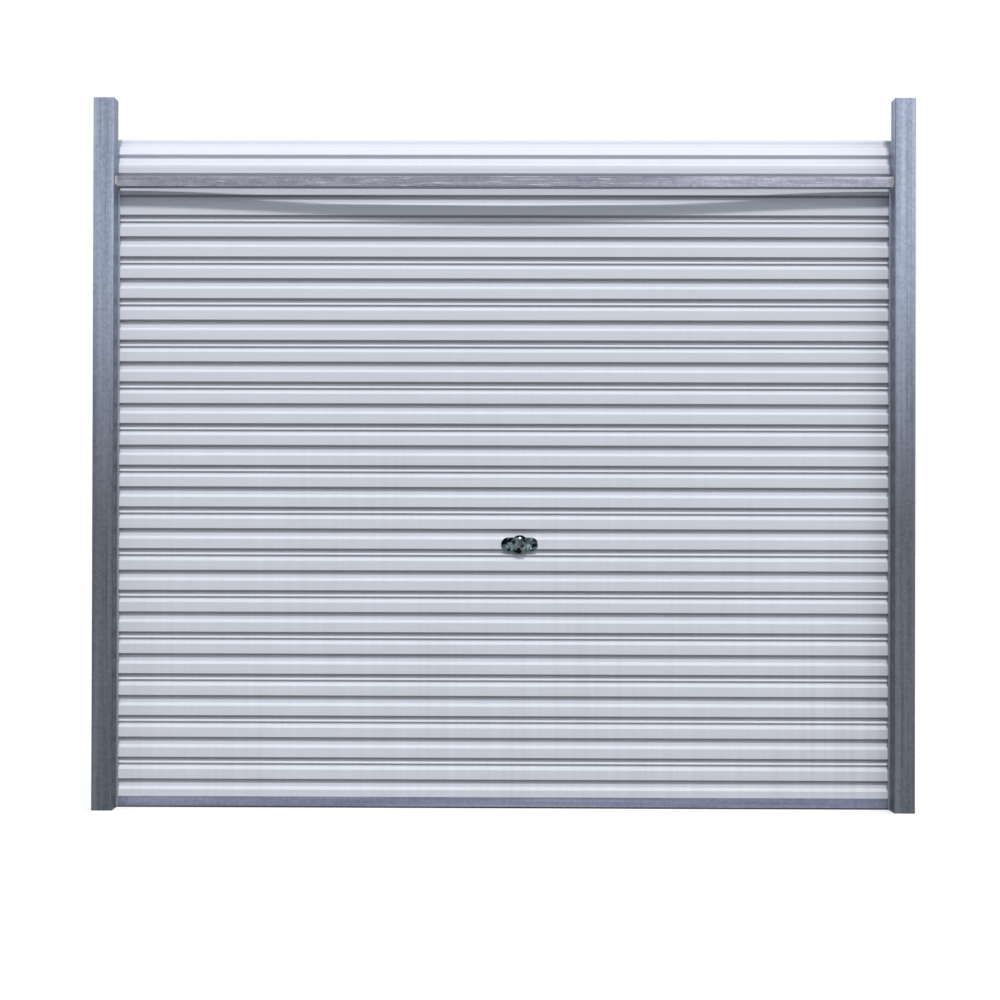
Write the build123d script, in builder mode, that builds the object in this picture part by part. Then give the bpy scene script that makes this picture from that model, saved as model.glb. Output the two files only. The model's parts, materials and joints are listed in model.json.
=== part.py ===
"""Roller door for a wide opening: a ribbed steel sheet that winds on a drum behind two box posts.

Millimetres, +Z up, the floor at zero. The outside of the door faces -Y, and the middle of the opening
and of the whole depth is at the origin.
"""

import os
from math import ceil, cos, pi, sin, sqrt

from build123d import *

# Box posts and the bar between them
opening_width = 2440
depth = 320
post_rise = 242
post_side = 65
post_wall = 2.5
post_corner = 4
header_height = 32
header_leg = 42
header_wall = 3
header_root = 4
header_setback = 22
header_bow = 32
header_sag = 6
header_top = 1988
weld_leg = 5
weld_bite = 1

# Folds of the sheet, from the foot of its small bead up
bead_fall = 4.5
bead_top = 3
bead_rise = 4
bead_depth = 5.5
narrow_gap = 6.5
slope_rise = 6.5
crest_height = 31
wide_gap = 19.5
crest_depth = 12
sheet_wall = 0.8
first_bead = 133.75
crest_setback = 6
curtain_cover = 30

# Wound part of the sheet and its drum
drum_rise = 32
roll_radius = 118
roll_growth = 15
roll_pitches = 5
roll_facet = 12
wheel_rim_wall = 4
wheel_rim_width = 30
wheel_hub_radius = 30
wheel_hub_length = 40
wheel_spoke_count = 5
wheel_spoke_width = 12
wheel_spoke_wall = 8
wheel_inset = 25
bush_wall = 3
axle_radius = 16.85
axle_wall = 3.2
spring_radius = 28
spring_wire = 5.5
spring_length = 620
collar_width = 24
collar_radius = 27

# Guides and what is in them
guide_wall = 1.5
guide_lip = 5
guide_cover = 45
guide_depth = 27
guide_bend = 3
guide_drop = 3
guide_rear_drop = 45
guide_foot = 3
liner_wall = 2.3
liner_inset = 3
guide_screw_count = 5
guide_screw_margin = 120
screw_radius = 2.4
screw_head_radius = 4
screw_head_height = 2
screw_bite = 3
stop_radius = 4
stop_head_radius = 7.5
stop_head_height = 5
stop_reach = 11

# Side brackets
bracket_wall = 4
bracket_gap = 10
bracket_flange = 24
bracket_rise = 5
bracket_height = 180
bracket_nose = 60
bracket_corner = 14
bolt_radius = 4
bolt_head_radius = 7.5
bolt_head_height = 5.5
bracket_bolt_spacing = 62
shelf_reach = 32
ubolt_radius = 4
nut_height = 6.5
nut_radius = 7.5

# Bottom rail
lift_margin = 188
rail_wall = 1.5
rail_top = 35
rail_foot = 4
rail_leg = 14
rail_end_reach = 6
clamp_leg = 16
clamp_inset = 14
rail_screw_count = 9
rail_bite = 1
seal_depth = 13
seal_lip = 3
grip_length = 130
grip_radius = 5
grip_reach = 45
grip_height = 22
grip_foot_radius = 9
grip_foot_wall = 3

# Lock in the sheet and its two bars
lock_shift = 52
lock_row = 5
plate_length = 116
plate_lobe_height = 43
plate_boss_radius = 28.5
plate_wall = 2.5
plate_edge = 1
bezel_height = 4
bezel_wall = 2.4
well_radius = 19
well_spacing = 36
well_depth = 7
block_length = 106
block_height = 38
block_depth = 10
knob_height = 13
knob_foot = 5
knob_top_radius = 12
knob_pinch_radius = 24
knob_pinch_share = 0.62
spindle_side = 8
barrel_radius = 8.5
barrel_proud = 1
barrel_depth = 12
key_slot_wall = 1.4
key_slot_height = 9
key_slot_depth = 5
pin_circle = 19
pin_radius = 3
bar_height = 18
bar_wall = 2.5
bar_tip_chamfer = 4
bar_end_margin = 9
bar_tip_gap = 5.5
cam_wall = 3
cam_rim = 5
case_half_width = 36
case_half_height = 33
case_depth = 20
case_wall = 1.5
case_ear = 18
clip_margin = 110
clip_count = 3
clip_width = 22
clip_wall = 2
clip_top = 38
clip_foot = 45
keeper_wall = 2.5
keeper_inset = 20

# Clearances
seat_gap = 0.3
bore_gap = 0.05
slip_gap = 0.8
bar_gap = 0.7
hole_gap = 0.2
cut_overrun = 5

# Places that the sizes above give
half_opening = opening_width / 2
post_height = header_top + post_rise
drum_height = header_top + drum_rise
guide_top = header_top - guide_drop
guide_rear_top = guide_top - guide_rear_drop
bracket_foot = header_top + bracket_rise
lift_travel = header_top - lift_margin
post_front = header_bow - header_setback - depth / 2
post_rear = post_front + post_side
header_front = post_front + header_setback
header_foot = header_top - header_height
crest_y = post_rear + crest_setback
recess_y = crest_y + crest_depth
sheet_back = recess_y + sheet_wall
curtain_half = half_opening + curtain_cover
guide_lip_x = half_opening - guide_lip
guide_web_x = half_opening + guide_cover
guide_rear = post_rear + guide_depth
drum_y = crest_y + roll_radius
bracket_x = curtain_half + bracket_gap
axle_half = half_opening + post_side
hoop_radius = axle_radius + ubolt_radius + hole_gap
bush_radius = axle_radius + bore_gap
hub_bore = bush_radius + bush_wall
wheel_x = curtain_half - wheel_inset

# Fold sizes of one pitch: rise along the sheet, then how far it stands out of the recess at the end
fold_runs = [
    (bead_fall, bead_depth),
    (bead_top, bead_depth),
    (bead_rise, 0),
    (narrow_gap, 0),
    (slope_rise, crest_depth),
    (crest_height, crest_depth),
    (slope_rise, 0),
    (wide_gap, 0),
    (slope_rise, crest_depth),
    (crest_height, crest_depth),
    (slope_rise, 0),
    (narrow_gap, 0),
]
pitch = sum(rise for rise, out in fold_runs)
lower_crest = bead_fall + bead_top + bead_rise + narrow_gap + slope_rise
gap_top = lower_crest + crest_height + slope_rise + wide_gap
sheet_bottom = rail_foot + rail_wall + seat_gap
sheet_top = drum_height - seat_gap
roll_end = (
    first_bead + ceil((drum_height - first_bead) / pitch + roll_pitches - 1) * pitch + gap_top - wide_gap / 4
)
lock_z = first_bead + lock_row * pitch + lower_crest + crest_height / 2
bar_y = sheet_back + bar_gap
throw = pin_circle * sqrt(2)
pin_offset = throw / 2
bar_lift = (pin_circle + pin_offset) / 2
bar_tip = guide_web_x - guide_wall - bar_tip_gap - throw
plate_y = crest_y - seat_gap


def facing(y, x=0, z=0):
    """Plane across the door, seen from the outside, with its normal towards the outside."""
    return Plane(origin=(x, y, z), x_dir=(1, 0, 0), z_dir=(0, -1, 0))


def fold_points(start, end):
    """Height and outward offset of each fold of the sheet between two heights along it."""
    height = first_bead - pitch
    folds = [(height, 0)]
    while height < end:
        for rise, out in fold_runs:
            height += rise
            folds.append((height, out))
    points = []
    for (low, low_out), (high, high_out) in zip(folds, folds[1:]):
        for cut in (start, end):
            if low <= cut < high:
                points.append((cut, low_out + (high_out - low_out) * (cut - low) / (high - low)))
        if start < high < end:
            points.append((high, high_out))
    return points


def on_roll(height, out):
    """Place of a fold on the wound part, whose radius falls steadily with its turn."""
    fall = roll_growth / (2 * pi)
    base = roll_radius - crest_depth
    turn = (base - sqrt(base**2 - 2 * fall * (height - drum_height))) / fall
    radius = base - fall * turn + out
    return turn, radius


def roll_point(height, out):
    """Y and Z of a fold on the wound part."""
    turn, radius = on_roll(height, out)
    return (drum_y - radius * cos(turn), drum_height + radius * sin(turn))


def folded(points, wall):
    """Outline of a folded strip whose wall lies to the right of its points, with sharp folds."""
    points = [Vector(*point) for point in points]
    ways = [(end - start).normalized() for start, end in zip(points, points[1:])]
    ways = [ways[0], *ways, ways[-1]]
    inner = []
    for point, before, after in zip(points, ways, ways[1:]):
        mean = (before + after).normalized()
        inner.append(point + Vector(mean.Y, -mean.X) * (wall / mean.dot(before)))
    return points + inner[::-1]


def rim_plane(x, radius):
    """Plane square to the radius on which the inner end of the sheet is bolted."""
    centre = Plane(origin=(x, drum_y, drum_height), x_dir=(1, 0, 0), z_dir=(0, -cos(end_turn), sin(end_turn)))
    return centre.offset(radius)


def spread(low, high, count):
    """Evenly spaced places from low to high."""
    return [low + (high - low) * i / (count - 1) for i in range(count)]


end_turn, end_radius = on_roll(roll_end - wide_gap / 4, 0)
wheel_radius = on_roll(roll_end, 0)[1] - sheet_wall - seat_gap
rim_inner = wheel_radius - wheel_rim_wall
guide_screw_x = curtain_half + (guide_web_x - guide_wall - curtain_half) / 2
guide_screw_heights = spread(guide_screw_margin, guide_top - guide_screw_margin, guide_screw_count)
bracket_bolt_x = bracket_x + (bracket_wall + bracket_flange) / 2
bracket_bolt_heights = [
    bracket_foot + bracket_height / 2 + i * bracket_bolt_spacing for i in (-1, 0, 1)
]
wheel_places = (-wheel_x, 0, wheel_x)
stop_z = lift_travel + rail_foot + rail_wall + seat_gap + stop_radius
stop_place = (crest_y + (rail_leg + rail_wall) / 2, stop_z)
clamp_y = crest_y + sheet_wall
clamp_screw_x = curtain_half - clamp_inset - clamp_leg
rail_screw_places = [
    (x, (rail_top + rail_foot) / 2) for x in spread(-clamp_screw_x, clamp_screw_x, rail_screw_count)
]

# Posts: square tube with rounded corners, drilled at the back for the guides and brackets
with BuildPart() as post_right:
    with BuildSketch():
        with Locations((half_opening + post_side / 2, post_front + post_side / 2)):
            RectangleRounded(post_side, post_side, post_corner)
            inner_side = post_side - 2 * post_wall
            RectangleRounded(inner_side, inner_side, post_corner - post_wall, mode=Mode.SUBTRACT)
    extrude(amount=post_height)
    with BuildSketch(facing(post_rear)):
        with Locations(*[(guide_screw_x, z) for z in guide_screw_heights]):
            Circle(screw_radius + hole_gap)
        with Locations(*[(bracket_bolt_x, z) for z in bracket_bolt_heights]):
            Circle(bolt_radius + hole_gap)
    extrude(amount=post_wall + cut_overrun, mode=Mode.SUBTRACT)

with BuildPart() as post_left:
    mirror(post_right.part, about=Plane.YZ)


# Header bar: an angle set back between the posts, bent outwards and hanging a little in the middle
with BuildPart() as header_bar:
    with BuildLine() as header_run:
        Spline(
            (-half_opening, header_front, header_foot),
            (0, header_front - header_bow, header_foot - header_sag),
            (half_opening, header_front, header_foot),
            tangents=((1, 0, 0), (1, 0, 0)),
        )
    with BuildSketch(Plane.YZ.offset(-half_opening)) as header_section:
        with BuildLine():
            Polyline(
                (header_front, header_foot),
                (header_front + header_leg, header_foot),
                (header_front + header_leg, header_foot + header_wall),
                (header_front + header_wall, header_foot + header_wall),
                (header_front + header_wall, header_top),
                (header_front, header_top),
                close=True,
            )
        make_face()
        fillet(header_section.vertices().sort_by_distance((-half_opening, header_front, header_foot))[1], header_root)
    sweep(path=header_run.wires()[0])

# Weld beads between the ends of the bar and the posts
with BuildPart() as header_welds:
    for side in (-1, 1):
        with BuildSketch(Plane.XY.offset(header_foot + weld_leg)):
            Polygon(
                (side * half_opening, header_front - weld_leg),
                (side * (half_opening - weld_leg), header_front),
                (side * (half_opening - weld_leg), header_front + weld_bite),
                (side * half_opening, header_front + weld_bite),
                align=None,
            )
        extrude(amount=header_height - weld_leg)
        with BuildSketch(facing(header_front + weld_leg)):
            Polygon(
                (side * half_opening, header_foot - weld_leg),
                (side * (half_opening - weld_leg), header_foot),
                (side * (half_opening - weld_leg), header_foot + weld_bite),
                (side * half_opening, header_foot + weld_bite),
                align=None,
            )
        extrude(amount=weld_leg - header_leg)
    add(header_bar.part, mode=Mode.SUBTRACT)

# Guides: rolled channels on the backs of the posts
with BuildPart() as guide_right:
    with BuildSketch(Plane.XY.offset(guide_foot)):
        with BuildLine():
            FilletPolyline(
                (guide_lip_x, post_rear),
                (guide_web_x, post_rear),
                (guide_web_x, guide_rear),
                (guide_lip_x, guide_rear),
                radius=guide_bend,
            )
            offset(amount=guide_wall, side=Side.LEFT)
        make_face()
    extrude(amount=guide_top - guide_foot)
    with BuildSketch(Plane.XY.offset(guide_rear_top)):
        with Locations((guide_lip_x, post_rear + guide_wall)):
            Rectangle(guide_cover + guide_lip - guide_bend, guide_depth, align=(Align.MIN, Align.MIN))
    extrude(amount=guide_top - guide_rear_top, mode=Mode.SUBTRACT)
    with BuildSketch(facing(post_rear + guide_wall)):
        with Locations(*[(guide_screw_x, z) for z in guide_screw_heights]):
            Circle(screw_radius + hole_gap)
    extrude(amount=guide_wall, mode=Mode.SUBTRACT)
    with BuildSketch(Plane.YZ.offset(guide_web_x - guide_wall)):
        with Locations(stop_place):
            Circle(stop_radius + hole_gap)
    extrude(amount=guide_wall, mode=Mode.SUBTRACT)

with BuildPart() as guide_left:
    mirror(guide_right.part, about=Plane.YZ)

with BuildPart() as guide_liner_right:
    with BuildSketch(Plane.XY.offset(guide_foot)):
        with Locations((guide_lip_x + liner_inset, post_rear + guide_wall)):
            Rectangle(curtain_half - guide_lip_x - liner_inset, liner_wall, align=(Align.MIN, Align.MIN))
    extrude(amount=guide_top - guide_foot)
    chamfer(guide_liner_right.edges().filter_by(Axis.Z).group_by(Axis.Y)[-1], liner_wall / 3)

with BuildPart() as guide_liner_left:
    mirror(guide_liner_right.part, about=Plane.YZ)

# Screws with hexagon heads that hold the guides to the posts
with BuildPart() as guide_screws:
    places = [(side * guide_screw_x, z) for side in (-1, 1) for z in guide_screw_heights]
    with BuildSketch(facing(post_rear + guide_wall)):
        with Locations(*places):
            RegularPolygon(screw_head_radius, 6)
    extrude(amount=-screw_head_height)
    with BuildSketch(facing(post_rear + guide_wall)):
        with Locations(*places):
            Circle(screw_radius)
    extrude(amount=guide_wall + post_wall + screw_bite)

# Stop bolts through the guide webs, which the bottom rail meets when the door is open
with BuildPart() as stop_bolts:
    for side in (-1, 1):
        with BuildSketch(Plane.YZ.offset(side * guide_web_x)):
            with Locations(stop_place):
                RegularPolygon(stop_head_radius, 6)
        extrude(amount=side * stop_head_height)
        with BuildSketch(Plane.YZ.offset(side * guide_web_x)):
            with Locations(stop_place):
                Circle(stop_radius)
        extrude(amount=-side * (guide_wall + stop_reach))

# Side brackets: a plate in line with the door's depth, flanged outwards onto the post
with BuildPart() as bracket_right:
    nose_top = drum_height + bracket_nose / 2
    with BuildSketch(Plane.YZ.offset(bracket_x)):
        with BuildLine():
            Polyline(
                (post_rear, bracket_foot),
                (post_rear, bracket_foot + bracket_height),
                (post_rear + bracket_flange, bracket_foot + bracket_height),
                (drum_y, nose_top),
                (depth / 2, nose_top),
                (depth / 2, bracket_foot),
                (post_rear, bracket_foot),
            )
        make_face()
    extrude(amount=bracket_wall)
    fillet(bracket_right.edges().filter_by(Axis.X).sort_by(Axis.Y)[2:], bracket_corner)
    with BuildSketch(facing(post_rear)):
        with Locations((bracket_x, bracket_foot)):
            Rectangle(bracket_flange, bracket_height, align=(Align.MIN, Align.MIN))
        with Locations(*[(bracket_bolt_x, z) for z in bracket_bolt_heights]):
            Circle(bolt_radius + hole_gap, mode=Mode.SUBTRACT)
    extrude(amount=-bracket_wall)
    shelf_z = drum_height - axle_radius - hole_gap
    with BuildSketch(Plane.XY.offset(shelf_z)):
        with Locations((bracket_x, drum_y - shelf_reach)):
            Rectangle(bracket_flange, 2 * shelf_reach, align=(Align.MIN, Align.MIN))
        with Locations(*[(bracket_bolt_x, drum_y + i * hoop_radius) for i in (-1, 1)]):
            Circle(ubolt_radius + hole_gap, mode=Mode.SUBTRACT)
    extrude(amount=-bracket_wall)
    with BuildSketch(Plane.YZ.offset(bracket_x)):
        with Locations((drum_y, drum_height)):
            Circle(axle_radius + hole_gap)
    extrude(amount=bracket_wall, mode=Mode.SUBTRACT)

with BuildPart() as bracket_left:
    mirror(bracket_right.part, about=Plane.YZ)

with BuildPart() as bracket_bolts:
    places = [(side * bracket_bolt_x, z) for side in (-1, 1) for z in bracket_bolt_heights]
    with BuildSketch(facing(post_rear + bracket_wall)):
        with Locations(*places):
            RegularPolygon(bolt_head_radius, 6)
    extrude(amount=-bolt_head_height)
    with BuildSketch(facing(post_rear + bracket_wall)):
        with Locations(*places):
            Circle(bolt_radius)
    extrude(amount=bracket_wall + post_wall + nut_height)
    with BuildSketch(facing(post_rear - post_wall)):
        with Locations(*places):
            RegularPolygon(nut_radius, 6, rotation=30)
    extrude(amount=nut_height)

# U bolts that clamp the axle onto the bracket shelves, with their nuts below
with BuildPart() as axle_clamps:
    leg_foot = drum_height - axle_radius - hole_gap - bracket_wall - 2 * nut_height
    for side in (-1, 1):
        x = side * bracket_bolt_x
        with BuildLine() as hoop:
            Line((x, drum_y - hoop_radius, leg_foot), (x, drum_y - hoop_radius, drum_height))
            ThreePointArc(
                (x, drum_y - hoop_radius, drum_height),
                (x, drum_y, drum_height + hoop_radius),
                (x, drum_y + hoop_radius, drum_height),
            )
            Line((x, drum_y + hoop_radius, drum_height), (x, drum_y + hoop_radius, leg_foot))
        with BuildSketch(Plane.XY.offset(leg_foot)):
            with Locations((x, drum_y - hoop_radius)):
                Circle(ubolt_radius)
        sweep(path=hoop.wires()[0])
        with BuildSketch(Plane.XY.offset(shelf_z - bracket_wall)):
            with Locations(*[(x, drum_y + i * hoop_radius) for i in (-1, 1)]):
                RegularPolygon(nut_radius, 6)
        extrude(amount=-nut_height)

# Axle tube across the whole width
with BuildPart() as axle:
    with BuildSketch(Plane.YZ):
        with Locations((drum_y, drum_height)):
            Circle(axle_radius)
            Circle(axle_radius - axle_wall, mode=Mode.SUBTRACT)
    extrude(amount=axle_half, both=True)

# Spacers that keep the drum wheels off the brackets
with BuildPart() as axle_spacers:
    for side in (-1, 1):
        hub_end = wheel_x + wheel_hub_length / 2 + seat_gap
        with BuildSketch(Plane.YZ.offset(side * bracket_x)):
            with Locations((drum_y, drum_height)):
                Circle(hub_bore)
                Circle(axle_radius + bore_gap, mode=Mode.SUBTRACT)
        extrude(amount=-side * (bracket_x - hub_end))


def wheel(x):
    """Cast wheel: rim, spokes and hub on one centre."""
    with BuildPart() as part:
        for outer, inner, width in (
            (wheel_radius, rim_inner, wheel_rim_width),
            (wheel_hub_radius, hub_bore, wheel_hub_length),
        ):
            with BuildSketch(Plane.YZ.offset(x)):
                with Locations((drum_y, drum_height)):
                    Circle(outer)
                    Circle(inner, mode=Mode.SUBTRACT)
            extrude(amount=width / 2, both=True)
        spoke_reach = wheel_radius - wheel_rim_wall / 2
        hub_reach = (wheel_hub_radius + hub_bore) / 2
        with BuildSketch(Plane.YZ.offset(x)):
            with Locations((drum_y, drum_height)):
                with PolarLocations((spoke_reach + hub_reach) / 2, wheel_spoke_count):
                    Rectangle(spoke_reach - hub_reach, wheel_spoke_width)
        extrude(amount=wheel_spoke_wall / 2, both=True)
        with BuildSketch(rim_plane(x, rim_inner - screw_bite)):
            Circle(screw_radius + hole_gap)
        extrude(amount=screw_bite + wheel_rim_wall + cut_overrun, mode=Mode.SUBTRACT)
    return part


drum_wheel_left = wheel(-wheel_x)
drum_wheel_centre = wheel(0)
drum_wheel_right = wheel(wheel_x)

# Plain bearings between the wheels and the axle
with BuildPart() as wheel_bushes:
    for x in wheel_places:
        with BuildSketch(Plane.YZ.offset(x)):
            with Locations((drum_y, drum_height)):
                Circle(hub_bore)
                Circle(bush_radius, mode=Mode.SUBTRACT)
        extrude(amount=wheel_hub_length / 2, both=True)


def spring(side):
    """Counterweight spring round the axle, as the tube that its coils fill."""
    start = wheel_x - wheel_hub_length / 2 - seat_gap
    with BuildPart() as part:
        with BuildSketch(Plane.YZ.offset(side * start)):
            with Locations((drum_y, drum_height)):
                Circle(spring_radius)
                Circle(spring_radius - spring_wire, mode=Mode.SUBTRACT)
        extrude(amount=-side * spring_length)
    return part


spring_left = spring(-1)
spring_right = spring(1)

# Collars clamped on the axle, which hold the still ends of the springs
with BuildPart() as spring_collars:
    collar_x = wheel_x - wheel_hub_length / 2 - seat_gap - spring_length
    for side in (-1, 1):
        with BuildSketch(Plane.YZ.offset(side * collar_x)):
            with Locations((drum_y, drum_height)):
                Circle(collar_radius)
                Circle(axle_radius, mode=Mode.SUBTRACT)
        extrude(amount=-side * collar_width)


# Hanging part of the sheet, flat at its foot where the rail holds it, cut out for the lock
with BuildPart() as curtain_sheet:
    with BuildSketch(Plane.YZ):
        hanging = [(sheet_bottom, crest_depth)] + fold_points(rail_top, sheet_top)
        with BuildLine():
            Polyline(*folded([(recess_y - out, height) for height, out in hanging], sheet_wall), close=True)
        make_face()
    extrude(amount=curtain_half, both=True)
    with BuildSketch(facing(crest_y - cut_overrun, lock_shift, lock_z)):
        SlotOverall(block_length + 2 * slip_gap, block_height + 2 * slip_gap)
    extrude(amount=-(crest_depth + sheet_wall + 2 * cut_overrun), mode=Mode.SUBTRACT)
    with BuildSketch(facing(crest_y)):
        with Locations(*rail_screw_places):
            Circle(screw_radius + hole_gap)
    extrude(amount=-sheet_wall, mode=Mode.SUBTRACT)

# Wound part of the sheet, on from where it leaves the hanging part
with BuildPart() as curtain_roll:
    with BuildSketch(Plane.YZ):
        wound = []
        folds = fold_points(drum_height, roll_end)
        for (low, low_out), (high, high_out) in zip(folds, folds[1:]):
            steps = ceil((high - low) / roll_facet)
            for i in range(steps):
                share = i / steps
                wound.append((low + (high - low) * share, low_out + (high_out - low_out) * share))
        wound.append(folds[-1])
        with BuildLine():
            Polyline(*folded([roll_point(height, out) for height, out in wound], sheet_wall), close=True)
        make_face()
    extrude(amount=curtain_half, both=True)
    for x in wheel_places:
        with BuildSketch(rim_plane(x, rim_inner)):
            Circle(screw_radius + hole_gap)
        extrude(amount=wheel_rim_wall + 2 * screw_head_height, mode=Mode.SUBTRACT)

# Bolts that hold the inner end of the sheet to the wheel rims
with BuildPart() as roll_bolts:
    head_radius = end_radius + seat_gap
    for x in wheel_places:
        with BuildSketch(rim_plane(x, head_radius)):
            RegularPolygon(screw_head_radius, 6)
        extrude(amount=screw_head_height)
        with BuildSketch(rim_plane(x, head_radius)):
            Circle(screw_radius)
        extrude(amount=-(head_radius - rim_inner + screw_bite))

# Bottom rail: an angle in front of the sheet and a second one clamped behind it
with BuildPart() as bottom_rail:
    with BuildSketch(Plane.YZ):
        with BuildLine():
            Polyline(
                (crest_y - rail_wall, rail_top),
                (crest_y - rail_wall, rail_foot),
                (crest_y - rail_wall + rail_leg, rail_foot),
                (crest_y - rail_wall + rail_leg, rail_foot + rail_wall),
                (crest_y, rail_foot + rail_wall),
                (crest_y, rail_top),
                close=True,
            )
        make_face()
    extrude(amount=curtain_half + rail_end_reach, both=True)
    fillet(bottom_rail.edges().filter_by(Axis.X).group_by(Axis.Y)[0].sort_by(Axis.Z)[0], rail_wall * 2 / 3)
    with BuildSketch(facing(crest_y)):
        with Locations(*rail_screw_places):
            Circle(screw_radius)
    extrude(amount=rail_bite, mode=Mode.SUBTRACT)

with BuildPart() as rail_clamp:
    clamp_foot = rail_foot + rail_wall
    with BuildSketch(Plane.YZ):
        with BuildLine():
            Polyline(
                (clamp_y, clamp_foot),
                (clamp_y + clamp_leg, clamp_foot),
                (clamp_y + clamp_leg, clamp_foot + rail_wall),
                (clamp_y + rail_wall, clamp_foot + rail_wall),
                (clamp_y + rail_wall, rail_top),
                (clamp_y, rail_top),
                close=True,
            )
        make_face()
    extrude(amount=curtain_half - clamp_inset, both=True)
    with BuildSketch(facing(clamp_y + rail_wall)):
        with Locations(*rail_screw_places):
            Circle(screw_radius + hole_gap)
    extrude(amount=rail_wall, mode=Mode.SUBTRACT)

# Screws from behind, through the clamp and the sheet into the rail
with BuildPart() as rail_screws:
    with BuildSketch(facing(clamp_y + rail_wall)):
        with Locations(*rail_screw_places):
            RegularPolygon(screw_head_radius, 6)
    extrude(amount=-screw_head_height)
    with BuildSketch(facing(clamp_y + rail_wall)):
        with Locations(*rail_screw_places):
            Circle(screw_radius)
    extrude(amount=rail_wall + sheet_wall + rail_bite)

# Rubber seal under the rail, with two lips on the floor
with BuildPart() as weather_seal:
    seal_front = crest_y - rail_wall + (rail_leg - seal_depth) / 2
    with BuildSketch(Plane.YZ):
        with BuildLine():
            Polyline(
                (seal_front, rail_foot),
                (seal_front, 0),
                (seal_front + seal_lip, 0),
                (seal_front + seal_depth / 2, rail_foot / 2),
                (seal_front + seal_depth - seal_lip, 0),
                (seal_front + seal_depth, 0),
                (seal_front + seal_depth, rail_foot),
                close=True,
            )
        make_face()
    extrude(amount=curtain_half, both=True)

# Pull handle on the inside: a bent rod on two feet
with BuildPart() as pull_handle:
    grip_y = clamp_y + rail_wall
    with BuildLine() as rod:
        FilletPolyline(
            (lock_shift - grip_length / 2, grip_y, grip_height),
            (lock_shift - grip_length / 2, grip_y + grip_reach, grip_height),
            (lock_shift + grip_length / 2, grip_y + grip_reach, grip_height),
            (lock_shift + grip_length / 2, grip_y, grip_height),
            radius=2 * grip_radius,
        )
    with BuildSketch(facing(grip_y, lock_shift - grip_length / 2, grip_height)):
        Circle(grip_radius)
    sweep(path=rod.wires()[0])
    with BuildSketch(facing(grip_y)):
        with Locations(*[(lock_shift + i * grip_length / 2, grip_height) for i in (-1, 1)]):
            Circle(grip_foot_radius)
    extrude(amount=-grip_foot_wall)

# Lock plate: a bow-tie plate with two finger wells, set into the sheet
with BuildPart() as lock_plate:
    with BuildSketch(facing(plate_y, lock_shift, lock_z)):
        SlotOverall(plate_length, plate_lobe_height)
        Circle(plate_boss_radius)
    extrude(amount=plate_wall)
    with BuildSketch(facing(plate_y - plate_wall, lock_shift, lock_z)):
        Circle(plate_boss_radius)
    extrude(amount=bezel_height)
    chamfer(lock_plate.faces().sort_by(Axis.Y)[0].outer_wire().edges(), plate_edge)
    with BuildSketch(facing(plate_y - plate_wall, lock_shift, lock_z)):
        Circle(plate_boss_radius - bezel_wall)
    extrude(amount=bezel_height + cut_overrun, mode=Mode.SUBTRACT)
    with BuildSketch(facing(plate_y, lock_shift, lock_z)):
        SlotOverall(block_length, block_height)
    extrude(amount=-block_depth)
    well_ball = (well_radius**2 + well_depth**2) / (2 * well_depth)
    well_y = plate_y - plate_wall + well_depth - well_ball
    with Locations(*[(lock_shift + i * well_spacing, well_y, lock_z) for i in (-1, 1)]):
        Sphere(well_ball, mode=Mode.SUBTRACT)
    with BuildSketch(facing(plate_y - plate_wall, lock_shift, lock_z)):
        Circle(spindle_side / sqrt(2) + slip_gap)
    extrude(amount=-(plate_wall + block_depth), mode=Mode.SUBTRACT)
    with BuildSketch(facing(plate_y + block_depth, lock_shift, lock_z)):
        with Locations(*[(i * (case_half_width + case_ear / 2), 0) for i in (-1, 1)]):
            Circle(screw_radius + hole_gap)
    extrude(amount=screw_bite, mode=Mode.SUBTRACT)

# Turning knob, pinched at its sides so that two fingers can hold it
with BuildPart() as lock_knob:
    knob_radius = plate_boss_radius - bezel_wall - slip_gap
    knob_y = plate_y - plate_wall - seat_gap
    with BuildSketch(Plane.XY.offset(lock_z)):
        with BuildLine():
            foot = (lock_shift, knob_y)
            edge = (lock_shift + knob_radius, knob_y)
            rim = (lock_shift + knob_radius, knob_y - knob_foot)
            shoulder = (lock_shift + knob_top_radius, knob_y - knob_height)
            Line(foot, edge)
            Line(edge, rim)
            RadiusArc(rim, shoulder, -knob_radius)
            Line(shoulder, (lock_shift, knob_y - knob_height))
            Line((lock_shift, knob_y - knob_height), foot)
        make_face()
    revolve(axis=Axis((lock_shift, knob_y, lock_z), (0, 1, 0)))
    pinch = knob_radius * knob_pinch_share + knob_pinch_radius
    with BuildSketch(facing(knob_y - knob_foot, lock_shift, lock_z)):
        with Locations((-pinch, 0), (pinch, 0)):
            Circle(knob_pinch_radius)
    extrude(amount=knob_height, mode=Mode.SUBTRACT)
    with BuildSketch(facing(knob_y - knob_height, lock_shift, lock_z)):
        Circle(barrel_radius + bore_gap)
    extrude(amount=-(barrel_depth - barrel_proud), mode=Mode.SUBTRACT)

# Square spindle through the sheet
with BuildPart() as lock_spindle:
    cam_y = bar_y + bar_wall + slip_gap
    with BuildSketch(facing(knob_y, lock_shift, lock_z)):
        Rectangle(spindle_side, spindle_side)
    extrude(amount=-(cam_y + cam_wall - knob_y))

# Cam behind the sheet, with the two pins that draw the bars
with BuildPart() as lock_cam:
    with BuildSketch(facing(cam_y, lock_shift, lock_z)):
        Circle(pin_circle + cam_rim)
        Rectangle(spindle_side, spindle_side, mode=Mode.SUBTRACT)
    extrude(amount=-cam_wall)
    with BuildSketch(facing(cam_y, lock_shift, lock_z)):
        with Locations((-pin_offset, pin_offset), (pin_offset, -pin_offset)):
            Circle(pin_radius)
    extrude(amount=cam_y - sheet_back - seat_gap)

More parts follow.
